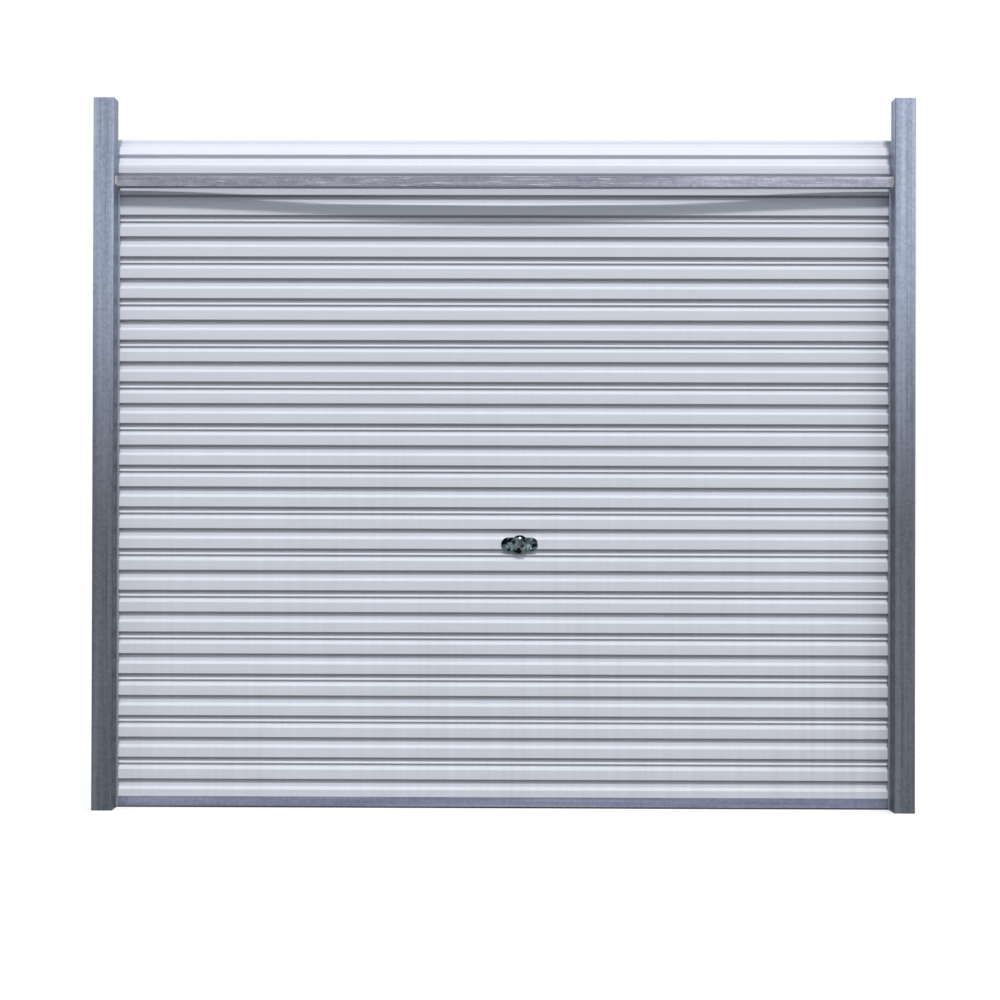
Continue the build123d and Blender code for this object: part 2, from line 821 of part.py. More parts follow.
# Key barrel in the knob
with BuildPart() as key_barrel:
    barrel_y = knob_y - knob_height - barrel_proud
    with BuildSketch(facing(barrel_y, lock_shift, lock_z)):
        Circle(barrel_radius)
    extrude(amount=-barrel_depth + seat_gap)
    with BuildSketch(facing(barrel_y, lock_shift, lock_z)):
        Rectangle(key_slot_wall, key_slot_height)
    extrude(amount=-key_slot_depth, mode=Mode.SUBTRACT)

# Pressed case over the cam, open at the front and notched where the bars leave it
bar_notch = bar_height + 2 * slip_gap
with BuildPart() as lock_case:
    case_y = sheet_back + seat_gap
    with BuildSketch(facing(case_y, lock_shift, lock_z)):
        Rectangle(2 * case_half_width, 2 * case_half_height)
    extrude(amount=-case_depth)
    fillet(lock_case.edges().filter_by(Axis.Y), 2 * case_wall)
    with BuildSketch(facing(case_y, lock_shift, lock_z)):
        RectangleRounded(2 * (case_half_width - case_wall), 2 * (case_half_height - case_wall), case_wall)
    extrude(amount=-(case_depth - case_wall), mode=Mode.SUBTRACT)
    with BuildSketch(facing(case_y, lock_shift, lock_z)):
        ear_length = case_half_width + case_ear
        for side in (-1, 1):
            with Locations((side * (case_half_width - case_wall + ear_length) / 2, -side * bar_lift)):
                Rectangle(ear_length - case_half_width + case_wall, bar_height)
        with Locations(*[(side * (case_half_width + case_ear / 2), 0) for side in (-1, 1)]):
            Circle(screw_radius + hole_gap, mode=Mode.SUBTRACT)
    extrude(amount=-case_wall)
    for side in (-1, 1):
        with BuildSketch(facing(case_y, lock_shift, lock_z)):
            with Locations((side * case_half_width, side * bar_lift)):
                Rectangle(4 * case_wall, bar_notch)
        extrude(amount=-(cam_y - case_y), mode=Mode.SUBTRACT)

with BuildPart() as lock_screws:
    places = [(side * (case_half_width + case_ear / 2), 0) for side in (-1, 1)]
    with BuildSketch(facing(case_y + case_wall, lock_shift, lock_z)):
        with Locations(*places):
            RegularPolygon(screw_head_radius, 6)
    extrude(amount=-screw_head_height)
    with BuildSketch(facing(case_y + case_wall, lock_shift, lock_z)):
        with Locations(*places):
            Circle(screw_radius)
    extrude(amount=case_y + case_wall - plate_y - block_depth + screw_bite - seat_gap)


def lock_bar(side):
    """Flat bar from the cam to inside the guide, with an upright slot for its pin."""
    pin_x = lock_shift - side * pin_offset
    inner = pin_x - side * bar_end_margin
    slot_height = pin_circle - pin_offset + 2 * (pin_radius + slip_gap)
    with BuildPart() as part:
        with BuildSketch(facing(bar_y, 0, lock_z + side * bar_lift)):
            with Locations(((inner + side * bar_tip) / 2, 0)):
                Rectangle(abs(side * bar_tip - inner), bar_height)
            with Locations((pin_x, 0)):
                SlotOverall(slot_height, 2 * (pin_radius + slip_gap), rotation=90, mode=Mode.SUBTRACT)
        extrude(amount=-bar_wall)
        tip_edges = part.edges().filter_by(Axis.Y).sort_by(Axis.X)
        chamfer(tip_edges[-2:] if side > 0 else tip_edges[:2], bar_tip_chamfer)
    return part


lock_bar_left = lock_bar(-1)
lock_bar_right = lock_bar(1)

# Clips on the back of the sheet that the bars slide through
clip_span = bar_lift + bar_height / 2 + clip_wall
with BuildPart() as bar_clips:
    clip_y = sheet_back + seat_gap
    bridge_y = bar_y + bar_wall + slip_gap
    clip_line = [
        (clip_y, lock_z - clip_foot),
        (clip_y, lock_z - clip_span),
        (bridge_y, lock_z - clip_span),
        (bridge_y, lock_z + clip_span),
        (clip_y, lock_z + clip_span),
        (clip_y, lock_z + clip_top),
    ]
    for side in (-1, 1):
        for i in range(clip_count):
            x = side * (half_opening - clip_margin) * (i + 1) / clip_count
            with BuildSketch(Plane.YZ.offset(x)):
                with BuildLine():
                    Polyline(*folded(clip_line, clip_wall), close=True)
                make_face()
            extrude(amount=clip_width / 2, both=True)


def keeper(side):
    """Fixed catch in the guide, whose two lugs stand above and below the tip of the bar."""
    start = half_opening + keeper_inset
    length = guide_web_x - guide_bend - start
    catch_y = sheet_back + seat_gap
    pocket = bar_height + 2 * slip_gap
    with BuildPart() as part:
        with BuildSketch(Plane.YZ.offset(side * start)):
            with Locations((guide_rear - guide_wall, lock_z + side * bar_lift)):
                reach = guide_rear - guide_wall - catch_y
                Rectangle(reach, pocket + 2 * keeper_wall, align=(Align.MAX, Align.CENTER))
            with Locations((guide_rear - guide_wall - keeper_wall, lock_z + side * bar_lift)):
                Rectangle(reach, pocket, align=(Align.MAX, Align.CENTER), mode=Mode.SUBTRACT)
        extrude(amount=side * length)
    return part


keeper_left = keeper(-1)
keeper_right = keeper(1)

pieces = {
    "post_left": post_left,
    "post_right": post_right,
    "header_bar": header_bar,
    "header_welds": header_welds,
    "guide_left": guide_left,
    "guide_right": guide_right,
    "guide_liner_left": guide_liner_left,
    "guide_liner_right": guide_liner_right,
    "guide_screws": guide_screws,
    "stop_bolts": stop_bolts,
    "keeper_left": keeper_left,
    "keeper_right": keeper_right,
    "bracket_left": bracket_left,
    "bracket_right": bracket_right,
    "bracket_bolts": bracket_bolts,
    "axle": axle,
    "axle_clamps": axle_clamps,
    "axle_spacers": axle_spacers,
    "spring_left": spring_left,
    "spring_right": spring_right,
    "spring_collars": spring_collars,
    "drum_wheel_left": drum_wheel_left,
    "drum_wheel_centre": drum_wheel_centre,
    "drum_wheel_right": drum_wheel_right,
    "wheel_bushes": wheel_bushes,
    "curtain_roll": curtain_roll,
    "roll_bolts": roll_bolts,
    "curtain_sheet": curtain_sheet,
    "bottom_rail": bottom_rail,
    "rail_clamp": rail_clamp,
    "rail_screws": rail_screws,
    "weather_seal": weather_seal,
    "pull_handle": pull_handle,
    "lock_plate": lock_plate,
    "lock_case": lock_case,
    "lock_screws": lock_screws,
    "bar_clips": bar_clips,
    "lock_knob": lock_knob,
    "lock_spindle": lock_spindle,
    "lock_cam": lock_cam,
    "key_barrel": key_barrel,
    "lock_bar_left": lock_bar_left,
    "lock_bar_right": lock_bar_right,
}

os.makedirs("parts", exist_ok=True)
for name, piece in pieces.items():
    piece.part.label = name
    export_step(piece.part, f"parts/{name}.step")
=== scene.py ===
"""Roller door with box posts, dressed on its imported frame. Metres, +Z up, the outside of the door faces -Y."""

import json
from math import ceil, cos, pi, radians, sin, sqrt

import bmesh
import bpy
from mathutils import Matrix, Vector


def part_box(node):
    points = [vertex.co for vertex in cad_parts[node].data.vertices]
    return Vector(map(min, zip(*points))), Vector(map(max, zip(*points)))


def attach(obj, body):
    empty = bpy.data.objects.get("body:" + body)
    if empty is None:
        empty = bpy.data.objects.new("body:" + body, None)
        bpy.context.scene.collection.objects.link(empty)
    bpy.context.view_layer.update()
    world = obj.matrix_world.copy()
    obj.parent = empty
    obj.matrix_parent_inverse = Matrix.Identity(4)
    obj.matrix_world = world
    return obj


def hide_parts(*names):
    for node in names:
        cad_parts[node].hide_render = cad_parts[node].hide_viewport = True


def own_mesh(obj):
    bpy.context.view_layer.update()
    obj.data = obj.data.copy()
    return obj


bl_info = {
    "name": "Roller Door",
    "version": (1, 0, 0),
    "blender": (4, 5, 0),
    "location": "3D View > Sidebar > Roller Door",
    "description": "Finishes, folds and springs of a sheet roller door between box posts",
    "category": "Object",
}

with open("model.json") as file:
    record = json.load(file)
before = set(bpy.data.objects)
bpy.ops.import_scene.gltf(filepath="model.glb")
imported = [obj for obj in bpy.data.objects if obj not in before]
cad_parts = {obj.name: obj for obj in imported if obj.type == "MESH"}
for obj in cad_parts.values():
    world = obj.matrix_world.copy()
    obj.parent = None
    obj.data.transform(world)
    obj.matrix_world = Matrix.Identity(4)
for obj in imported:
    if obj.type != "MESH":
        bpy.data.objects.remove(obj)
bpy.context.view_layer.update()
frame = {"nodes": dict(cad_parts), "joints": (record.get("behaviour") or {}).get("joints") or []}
NODES = frame["nodes"]
SHEET_LOW, SHEET_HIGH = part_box("curtain_sheet")
ROLL_LOW, ROLL_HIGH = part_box("curtain_roll")
HEADER_LOW, HEADER_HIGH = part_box("header_bar")
PLATE_LOW, PLATE_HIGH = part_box("lock_plate")
SPIN = next(joint for joint in frame["joints"] if joint["name"] == "drum_spin")

# One pitch of the sheet: rise along it, then how far it stands out of the recess at the end
FOLDS = (
    (0.0045, 0.0055),
    (0.003, 0.0055),
    (0.004, 0.0),
    (0.0065, 0.0),
    (0.0065, 0.012),
    (0.031, 0.012),
    (0.0065, 0.0),
    (0.0195, 0.0),
    (0.0065, 0.012),
    (0.031, 0.012),
    (0.0065, 0.0),
    (0.0065, 0.0),
)
PITCH = sum(rise for rise, _ in FOLDS)
GAP_TOP = sum(rise for rise, _ in FOLDS[:8])
WIDE_GAP = FOLDS[7][0]
# Height at which a pitch starts, top of the bottom rail, and depth of the folds
FIRST_BEAD = 0.13375
RAIL_TOP = 0.035
CREST = 0.012
# Pitches of the sheet above the one at the drum's axle, how much its radius falls in a turn, and its facets
ROLL_PITCHES = 4
ROLL_GROWTH = 0.015
ROLL_FACET = 0.006
# The round-ended window that the lock's block fills, and how far its cutter reaches through
LOCK_CUT_RADIUS = 0.0198
LOCK_CUT_SPREAD = 0.034
CUTTER_DEPTH = 0.08
# Fitted to the photograph's view: place, turn in degrees, focal length in sensor widths, sensor in mm
CAMERA_PLACE = (0.0310, -5.650, 0.9483)
CAMERA_TURN = (90.258, -0.148, 0.423)
CAMERA_FOCUS = 1.7629
SENSOR = 36
# A Mix node's inputs A and B, for numbers and for colours, and its output for colours
NUMBER_A, NUMBER_B = 2, 3
COLOUR_A, COLOUR_B, COLOUR_OUT = 6, 7, 2


def linear(code):
    """Linear colour of an sRGB hex value."""
    parts = [int(code[i : i + 2], 16) / 255 for i in (1, 3, 5)]
    return tuple(c / 12.92 if c <= 0.04045 else ((c + 0.055) / 1.055) ** 2.4 for c in parts)


def paint(code):
    """Linear colour of an sRGB hex value, with its alpha."""
    return (*linear(code), 1.0)


def deselect():
    """Leave edit mode and select nothing."""
    if bpy.context.object and bpy.context.object.mode != "OBJECT":
        bpy.ops.object.mode_set(mode="OBJECT")
    bpy.ops.object.select_all(action="DESELECT")


def finish_piece(obj, name, body, material, angle=35):
    """Apply the piece's modifiers and place, give it its finish and let it ride."""
    deselect()
    obj.select_set(True)
    bpy.context.view_layer.objects.active = obj
    for modifier in list(obj.modifiers):
        bpy.ops.object.modifier_apply(modifier=modifier.name)
    bpy.ops.object.transform_apply(location=True, rotation=True, scale=True)
    bpy.ops.object.shade_smooth_by_angle(angle=radians(angle))
    flats = obj.modifiers.new("flats", "WEIGHTED_NORMAL")
    flats.keep_sharp = True
    bpy.ops.object.modifier_apply(modifier=flats.name)
    obj.name = name
    obj.data.materials.clear()
    obj.data.materials.append(material)
    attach(obj, body)
    return obj


def node(tree, kind, links=None, stops=None, **settings):
    """Add a node with its settings, ramp stops, and values or links of its inputs."""
    made = tree.nodes.new(kind)
    for key, value in settings.items():
        setattr(made, key, value)
    if stops:
        ramp = made.color_ramp
        while len(ramp.elements) < len(stops):
            ramp.elements.new(0.5)
        for element, (place, colour) in zip(ramp.elements, stops):
            element.position, element.color = place, colour
    for key, value in (links or {}).items():
        if isinstance(value, bpy.types.NodeSocket):
            tree.links.new(value, made.inputs[key])
        else:
            made.inputs[key].default_value = value
    return made


def new_material(name):
    """An empty node material with its surface shader linked."""
    material = bpy.data.materials.new(name)
    material.use_nodes = True
    tree = material.node_tree
    tree.nodes.clear()
    shader = node(tree, "ShaderNodeBsdfPrincipled")
    node(tree, "ShaderNodeOutputMaterial", {"Surface": shader.outputs["BSDF"]})
    place = node(tree, "ShaderNodeTexCoord").outputs["Object"]
    return material, tree, shader, place


def coated_sheet(settings):
    """Prefinished steel strip: a satin polyester coat, with faint dust in upright runs that grows towards the ground
    and also paints the soft shade low down, and painted shade on the faces that look down under the ribs.
    """
    material, tree, shader, place = new_material("prefinished_steel_sheet")
    # Rain runs: 20 mm across and very long up the sheet
    runs = node(tree, "ShaderNodeMapping", {"Vector": place, "Scale": (50, 4, 1.2)})
    streak = node(tree, "ShaderNodeTexNoise", {"Vector": runs.outputs[0], "Scale": 1.0, "Detail": 4.0})
    # The dust lies in clouds about 600 mm wide and thins out with height; its growth towards the ground also paints
    # the soft shade lower on the sheet
    cloud = node(tree, "ShaderNodeTexNoise", {"Vector": place, "Scale": 1.6, "Detail": 3.0})
    height = node(tree, "ShaderNodeSeparateXYZ", {"Vector": place})
    low = node(
        tree,
        "ShaderNodeMapRange",
        {"Value": height.outputs["Z"], "From Min": 0.0, "From Max": 2.1, "To Min": 1.0, "To Max": 0.0},
    )
    dust = node(tree, "ShaderNodeMath", {0: streak.outputs["Fac"], 1: low.outputs[0]}, operation="MULTIPLY")
    both = node(tree, "ShaderNodeMath", {0: dust.outputs[0], 1: cloud.outputs["Fac"]}, operation="MULTIPLY")
    colour = node(
        tree,
        "ShaderNodeValToRGB",
        {"Fac": both.outputs[0]},
        stops=[(0.0, (*settings.sheet_colour, 1)), (0.5, (*settings.sheet_dust, 1))],
    )
    # Painted shade: the faces that look down, under the ribs, are darkened to a neutral grey
    faces = node(tree, "ShaderNodeSeparateXYZ", {"Vector": place.node.outputs["Normal"]})
    under = node(
        tree,
        "ShaderNodeMapRange",
        {"Value": faces.outputs["Z"], "From Min": -0.7, "From Max": -0.4, "To Min": 1.0, "To Max": 0.0},
    )
    # The painted shade fades out on the wound part above the header
    shade_below_roll = node(
        tree,
        "ShaderNodeMapRange",
        {"Value": height.outputs["Z"], "From Min": 1.96, "From Max": 2.02, "To Min": 1.0, "To Max": 0.0},
    )
    painted_underside = node(tree, "ShaderNodeMath", {0: under.outputs[0], 1: shade_below_roll.outputs[0]}, operation="MULTIPLY")
    coat = node(
        tree,
        "ShaderNodeMix",
        {"Factor": painted_underside.outputs[0], COLOUR_A: colour.outputs[0], COLOUR_B: (*settings.sheet_underside_shade, 1)},
        data_type="RGBA",
    )
    tree.links.new(coat.outputs[COLOUR_OUT], shader.inputs["Base Color"])
    gloss = node(
        tree,
        "ShaderNodeMapRange",
        {"Value": streak.outputs["Fac"], "From Min": 0.3, "From Max": 0.7, "To Min": 0.5, "To Max": 0.62},
    )
    tree.links.new(gloss.outputs[0], shader.inputs["Roughness"])
    # Soft oil canning of the thin flats, about 150 mm long, with a fine orange peel of 1 mm
    long = node(tree, "ShaderNodeMapping", {"Vector": place, "Scale": (7, 20, 30)})
    canning = node(tree, "ShaderNodeTexNoise", {"Vector": long.outputs[0], "Scale": 1.0, "Detail": 1.0})
    peel = node(tree, "ShaderNodeTexNoise", {"Vector": place, "Scale": 900.0, "Detail": 1.0})
    wave = node(tree, "ShaderNodeBump", {"Height": canning.outputs["Fac"], "Strength": 0.25, "Distance": 0.002})
    skin = node(
        tree,
        "ShaderNodeBump",
        {"Height": peel.outputs["Fac"], "Strength": 0.05, "Distance": 0.0002, "Normal": wave.outputs[0]},
    )
    tree.links.new(skin.outputs[0], shader.inputs["Normal"])
    return material


def galvanised(name, pale, dark, painted_ground_reflection=None, metallic=0.85, rough=0.42, along="Z", scuff=0.0, painted_right_light=1.0):
    """Galvanised steel section: fine drawn lines along it, wider runs of bloom, and faint zinc crystals."""
    material, tree, shader, place = new_material(name)
    across = {"X": (1.5, 130, 130), "Z": (130, 130, 0.9)}[along]
    wide = {"X": (2.5, 45, 45), "Z": (45, 45, 1.6)}[along]
    # Drawn lines about 8 mm apart and runs about 22 mm wide, both very long along the section
    lines = node(tree, "ShaderNodeMapping", {"Vector": place, "Scale": across})
    line = node(
        tree,
        "ShaderNodeTexNoise",
        {"Vector": lines.outputs[0], "Scale": 1.0, "Detail": 4.0, "Roughness": 0.65},
    )
    runs = node(tree, "ShaderNodeMapping", {"Vector": place, "Scale": wide})
    run = node(tree, "ShaderNodeTexNoise", {"Vector": runs.outputs[0], "Scale": 1.0, "Detail": 3.0})
    # Zinc crystals about 9 mm across
    crystals = node(tree, "ShaderNodeTexVoronoi", {"Vector": place, "Scale": 110.0})
    shade = node(tree, "ShaderNodeRGBToBW", {"Color": crystals.outputs["Color"]})
    drawn = node(
        tree, "ShaderNodeMix", {"Factor": 0.45, NUMBER_A: line.outputs["Fac"], NUMBER_B: run.outputs["Fac"]}
    )
    mixed = node(tree, "ShaderNodeMix", {"Factor": 0.12, NUMBER_A: drawn.outputs[0], NUMBER_B: shade.outputs[0]})
    colour = node(
        tree, "ShaderNodeValToRGB", {"Fac": mixed.outputs[0]}, stops=[(0.36, paint(dark)), (0.64, paint(pale))]
    )
    base = colour.outputs[0]
    if painted_ground_reflection:
        # Painted reflection: darker and less blue towards the ground, as the dark ground is mirrored low down and the
        # sky high up
        height = node(tree, "ShaderNodeSeparateXYZ", {"Vector": place})
        rise = node(
            tree,
            "ShaderNodeMapRange",
            {"Value": height.outputs["Z"], "From Min": 0.85, "From Max": 2.05},
            interpolation_type="SMOOTHSTEP",
        )
        tone = node(
            tree,
            "ShaderNodeMix",
            {"Factor": rise.outputs[0], COLOUR_A: (*painted_ground_reflection, 1), COLOUR_B: (1, 1, 1, 1)},
            data_type="RGBA",
        )
        painted_reflection = node(
            tree,
            "ShaderNodeMix",
            {"Factor": 1.0, COLOUR_A: base, COLOUR_B: tone.outputs[COLOUR_OUT]},
            data_type="RGBA",
            blend_type="MULTIPLY",
        )
        base = painted_reflection.outputs[COLOUR_OUT]
    if painted_right_light > 1:
        # Painted light: lighter towards the right end, where more light falls on it
        side = node(tree, "ShaderNodeSeparateXYZ", {"Vector": place})
        tone = node(
            tree,
            "ShaderNodeMapRange",
            {"Value": side.outputs["X"], "From Min": 0.3, "From Max": 0.8, "To Min": 1.0, "To Max": painted_right_light},
            interpolation_type="SMOOTHSTEP",
        )
        lit_right_end = node(
            tree,
            "ShaderNodeMix",
            {"Factor": 1.0, COLOUR_A: base, COLOUR_B: tone.outputs[0]},
            data_type="RGBA",
            blend_type="MULTIPLY",
        )
        base = lit_right_end.outputs[COLOUR_OUT]
    if scuff:
        # Scratches 3 mm wide and 150 mm long, bright where the dull bloom is rubbed away
        rubbed = node(
            tree,
            "ShaderNodeMapping",
            {"Vector": place, "Scale": (6, 300, 300), "Rotation": (0, radians(3), 0)},
        )
        marks = node(
            tree,
            "ShaderNodeTexNoise",
            {"Vector": rubbed.outputs[0], "Scale": 1.0, "Detail": 6.0, "Roughness": 0.7},
        )
        cut = node(
            tree,
            "ShaderNodeMapRange",
            {"Value": marks.outputs["Fac"], "From Min": 0.57, "From Max": 0.68, "To Min": 0.0, "To Max": scuff},
        )
        bright = node(
            tree,
            "ShaderNodeMix",
            {"Factor": cut.outputs[0], COLOUR_A: base, COLOUR_B: paint("#dfe3e8")},
            data_type="RGBA",
        )
        base = bright.outputs[COLOUR_OUT]
    tree.links.new(base, shader.inputs["Base Color"])
    gloss = node(
        tree,
        "ShaderNodeMapRange",
        {"Value": mixed.outputs[0], "From Min": 0.3, "From Max": 0.7, "To Min": rough + 0.09, "To Max": rough - 0.05},
    )
    tree.links.new(gloss.outputs[0], shader.inputs["Roughness"])
    relief = node(tree, "ShaderNodeBump", {"Height": line.outputs["Fac"], "Strength": 0.15, "Distance": 0.0003})
    tree.links.new(relief.outputs[0], shader.inputs["Normal"])
    shader.inputs["Metallic"].default_value = metallic
    return material


def plated(name, pale, dark, rough=0.3, metallic=1.0, grit=400.0):
    """Small steel parts with a thin bright zinc coat, dulled unevenly by handling."""
    material, tree, shader, place = new_material(name)
    # Dull marks 2.5 mm apart, drawn coarser than the real ones, which are too fine to show
    dull = node(tree, "ShaderNodeTexNoise", {"Vector": place, "Scale": grit, "Detail": 4.0})
    colour = node(
        tree,
        "ShaderNodeValToRGB",
        {"Fac": dull.outputs["Fac"]},
        stops=[(0.3, paint(dark)), (0.7, paint(pale))],
    )
    tree.links.new(colour.outputs[0], shader.inputs["Base Color"])
    gloss = node(
        tree,
        "ShaderNodeMapRange",
        {"Value": dull.outputs["Fac"], "From Min": 0.3, "From Max": 0.7, "To Min": rough + 0.1, "To Max": rough},
    )
    tree.links.new(gloss.outputs[0], shader.inputs["Roughness"])
    relief = node(tree, "ShaderNodeBump", {"Height": dull.outputs["Fac"], "Strength": 0.1, "Distance": 0.0002})
    tree.links.new(relief.outputs[0], shader.inputs["Normal"])
    shader.inputs["Metallic"].default_value = metallic
    return material


def chrome(name, pale, dark, rough=0.09):
    """Polished chrome on a die casting: mirror bright and wavy, with dark patches of painted reflection in its
    colour, for the dark surroundings it mirrors.
    """
    material, tree, shader, place = new_material(name)
    # Painted reflection patches and swells about 17 mm across
    reflection_patch = node(tree, "ShaderNodeTexNoise", {"Vector": place, "Scale": 60.0, "Detail": 1.0})
    colour = node(
        tree,
        "ShaderNodeValToRGB",
        {"Fac": reflection_patch.outputs["Fac"]},
        stops=[(0.42, paint(dark)), (0.63, paint(pale))],
    )
    tree.links.new(colour.outputs[0], shader.inputs["Base Color"])
    gloss = node(
        tree,
        "ShaderNodeMapRange",
        {"Value": reflection_patch.outputs["Fac"], "From Min": 0.3, "From Max": 0.7, "To Min": rough, "To Max": rough + 0.06},
    )
    tree.links.new(gloss.outputs[0], shader.inputs["Roughness"])
    swell = node(tree, "ShaderNodeTexNoise", {"Vector": place, "Scale": 60.0, "Detail": 1.0})
    relief = node(
        tree,
        "ShaderNodeBump",
        {"Height": swell.outputs["Fac"], "Strength": 0.12, "Distance": 0.0006},
    )
    tree.links.new(relief.outputs[0], shader.inputs["Normal"])
    shader.inputs["Metallic"].default_value = 1.0
    return material


def dull_part(name, pale, dark, rough, metallic=0.0, scale=120.0, bump=0.2):
    """Matt moulded, cast or rubber parts with a faint even texture."""
    material, tree, shader, place = new_material(name)
    # Grain of 2 to 7 mm, drawn coarser than the real grain of a mould or weld, which is too fine to show
    grain = node(tree, "ShaderNodeTexNoise", {"Vector": place, "Scale": scale, "Detail": 5.0})
    colour = node(
        tree,
        "ShaderNodeValToRGB",
        {"Fac": grain.outputs["Fac"]},
        stops=[(0.3, paint(dark)), (0.7, paint(pale))],
    )
    tree.links.new(colour.outputs[0], shader.inputs["Base Color"])
    relief = node(
        tree,
        "ShaderNodeBump",
        {"Height": grain.outputs["Fac"], "Strength": bump, "Distance": 0.0005},
    )
    tree.links.new(relief.outputs[0], shader.inputs["Normal"])
    shader.inputs["Roughness"].default_value = rough
    shader.inputs["Metallic"].default_value = metallic
    return material


class DoorSettings(bpy.types.PropertyGroup):
    """Sizes and colours of the dressed door."""

    fold_radius: bpy.props.FloatProperty(
        name="Fold radius",
        description="Bend of each fold of the sheet",
        default=0.0014,
        min=0.0002,
        max=0.002,
        unit="LENGTH",
    )
    sheet_wall: bpy.props.FloatProperty(
        name="Sheet wall",
        description="Thickness of the sheet",
        default=0.0008,
        min=0.0004,
        max=0.0015,
        unit="LENGTH",
    )
    spring_wire: bpy.props.FloatProperty(
        name="Spring wire",
        description="Diameter of the spring wire",
        default=0.0053,
        min=0.003,
        max=0.0055,
        unit="LENGTH",
    )
    roll_slip: bpy.props.FloatProperty(
        name="Roll slip",
        description="How far the wound folds lie ahead of the hanging ones",
        default=0.006,
        min=0,
        max=0.01,
        unit="LENGTH",
    )
    header_bow: bpy.props.FloatProperty(
        name="Header bow",
        description="How far the header bends outwards",
        default=0.032,
        min=0,
        max=0.05,
        unit="LENGTH",
    )
    header_sag: bpy.props.FloatProperty(
        name="Header sag",
        description="How far the header hangs down",
        default=0.006,
        min=0,
        max=0.02,
        unit="LENGTH",
    )
    header_wall: bpy.props.FloatProperty(
        name="Header wall",
        description="Thickness of the header angle",
        default=0.003,
        min=0.001,
        max=0.005,
        unit="LENGTH",
    )
    header_steps: bpy.props.IntProperty(
        name="Header steps", description="Straight stretches of the bent header", default=48, min=8, max=96
    )
    sheet_colour: bpy.props.FloatVectorProperty(
        name="Sheet colour",
        description="Coat of the sheet",
        subtype="COLOR",
        default=linear("#d6dae5"),
        min=0,
        max=1,
    )
    sheet_dust: bpy.props.FloatVectorProperty(
        name="Sheet dust",
        description="Dust in the coat's rain runs",
        subtype="COLOR",
        default=linear("#c6c9d1"),
        min=0,
        max=1,
    )
    # Painted shade: the grey that the faces looking down under the ribs are darkened to
    sheet_underside_shade: bpy.props.FloatVectorProperty(
        name="Sheet underside shade",
        description="Painted shade on faces under the ribs",
        subtype="COLOR",
        default=linear("#a4a5a7"),
        min=0,
        max=1,
    )
    floor_tone: bpy.props.FloatProperty(
        name="Floor bounce", description="How much light the ground throws back up", default=0.04, min=0, max=1
    )


def settings_of(context):
    """The door's settings."""
    return context.scene.roller_door


def strip(name, points, left, right):
    """A strip across the door, extruded run by run from an edge along the given Y and Z points."""
    deselect()
    first = points[0]
    bpy.ops.mesh.primitive_plane_add(size=1, location=((left + right) / 2, first[0], first[1]))
    obj = bpy.context.object
    obj.name = name
    obj.scale = (right - left, 1, 1)
    bpy.ops.object.transform_apply(location=True, rotation=True, scale=True)
    bpy.ops.object.mode_set(mode="EDIT")
    bpy.ops.mesh.select_mode(type="VERT")
    mesh = bmesh.from_edit_mesh(obj.data)
    for vert in mesh.verts:
        vert.select_set(vert.co.y > first[0])
    mesh.select_flush(True)
    bmesh.update_edit_mesh(obj.data)
    bpy.ops.mesh.delete(type="VERT")
    bpy.ops.mesh.select_all(action="SELECT")
    bpy.ops.transform.translate(value=(0, 0.5, 0))
    for here, there in zip(points, points[1:]):
        bpy.ops.mesh.extrude_region_move(
            TRANSFORM_OT_translate={"value": (0, there[0] - here[0], there[1] - here[1])}
        )
    bpy.ops.object.mode_set(mode="OBJECT")
    return obj


def runs_between(start, end):
    """Height along the sheet and outward offset of each fold between two heights."""
    height = FIRST_BEAD - PITCH
    folds = [(height, 0.0)]
    while height < end:
        for rise, out in FOLDS:
            height += rise
            folds.append((height, out))
    points = []
    for (low, low_out), (high, high_out) in zip(folds, folds[1:]):
        for cut in (start, end):
            if low <= cut < high:
                points.append((cut, low_out + (high_out - low_out) * (cut - low) / (high - low)))
        if start < high < end:
            points.append((high, high_out))
    return points


class ROLLER_OT_sheet(bpy.types.Operator):
    """Hanging part of the sheet, with rounded folds and its lock cut-out"""

    bl_idname = "roller.sheet"
    bl_label = "Hanging Sheet"

    def execute(self, context):
        settings = settings_of(context)
        recess = SHEET_LOW[1] + CREST
        heights = [(SHEET_LOW[2], CREST)] + runs_between(RAIL_TOP, SHEET_HIGH[2])
        points = [(recess - out, height) for height, out in heights]
        obj = strip("hanging_sheet", points, SHEET_LOW[0], SHEET_HIGH[0])
        round_and_thicken(obj, settings)
        cut_for_lock(obj)
        finish_piece(obj, "hanging_sheet", "curtain", coated_material(settings))
        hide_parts("curtain_sheet")
        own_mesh(obj)
        return {"FINISHED"}


def coated_material(settings):
    """The sheet's coat, made once."""
    return bpy.data.materials.get("prefinished_steel_sheet") or coated_sheet(settings)


def round_and_thicken(obj, settings):
    """Bend the folds to their radius and give the strip its wall, inwards."""
    bevel = obj.modifiers.new("folds", "BEVEL")
    bevel.width = settings.fold_radius
    bevel.segments = 3
    bevel.limit_method = "ANGLE"
    bevel.angle_limit = radians(12)
    wall = obj.modifiers.new("wall", "SOLIDIFY")
    wall.thickness = settings.sheet_wall
    wall.offset = -1
    bpy.context.view_layer.objects.active = obj
    obj.select_set(True)
    bpy.ops.object.modifier_apply(modifier=bevel.name)
    face_outwards(obj)
    bpy.ops.object.modifier_apply(modifier=wall.name)


def face_outwards(obj):
    """Turn the faces of a strip towards the outside of the door."""
    bpy.ops.object.mode_set(mode="EDIT")
    bpy.ops.mesh.select_all(action="SELECT")
    bpy.ops.mesh.normals_make_consistent(inside=False)
    bpy.ops.object.mode_set(mode="OBJECT")
    inwards = sum(face.normal.y * face.area for face in obj.data.polygons if face.center.y < SPIN["pos_m"][1])
    if inwards > 0:
        bpy.ops.object.mode_set(mode="EDIT")
        bpy.ops.mesh.flip_normals()
        bpy.ops.object.mode_set(mode="OBJECT")


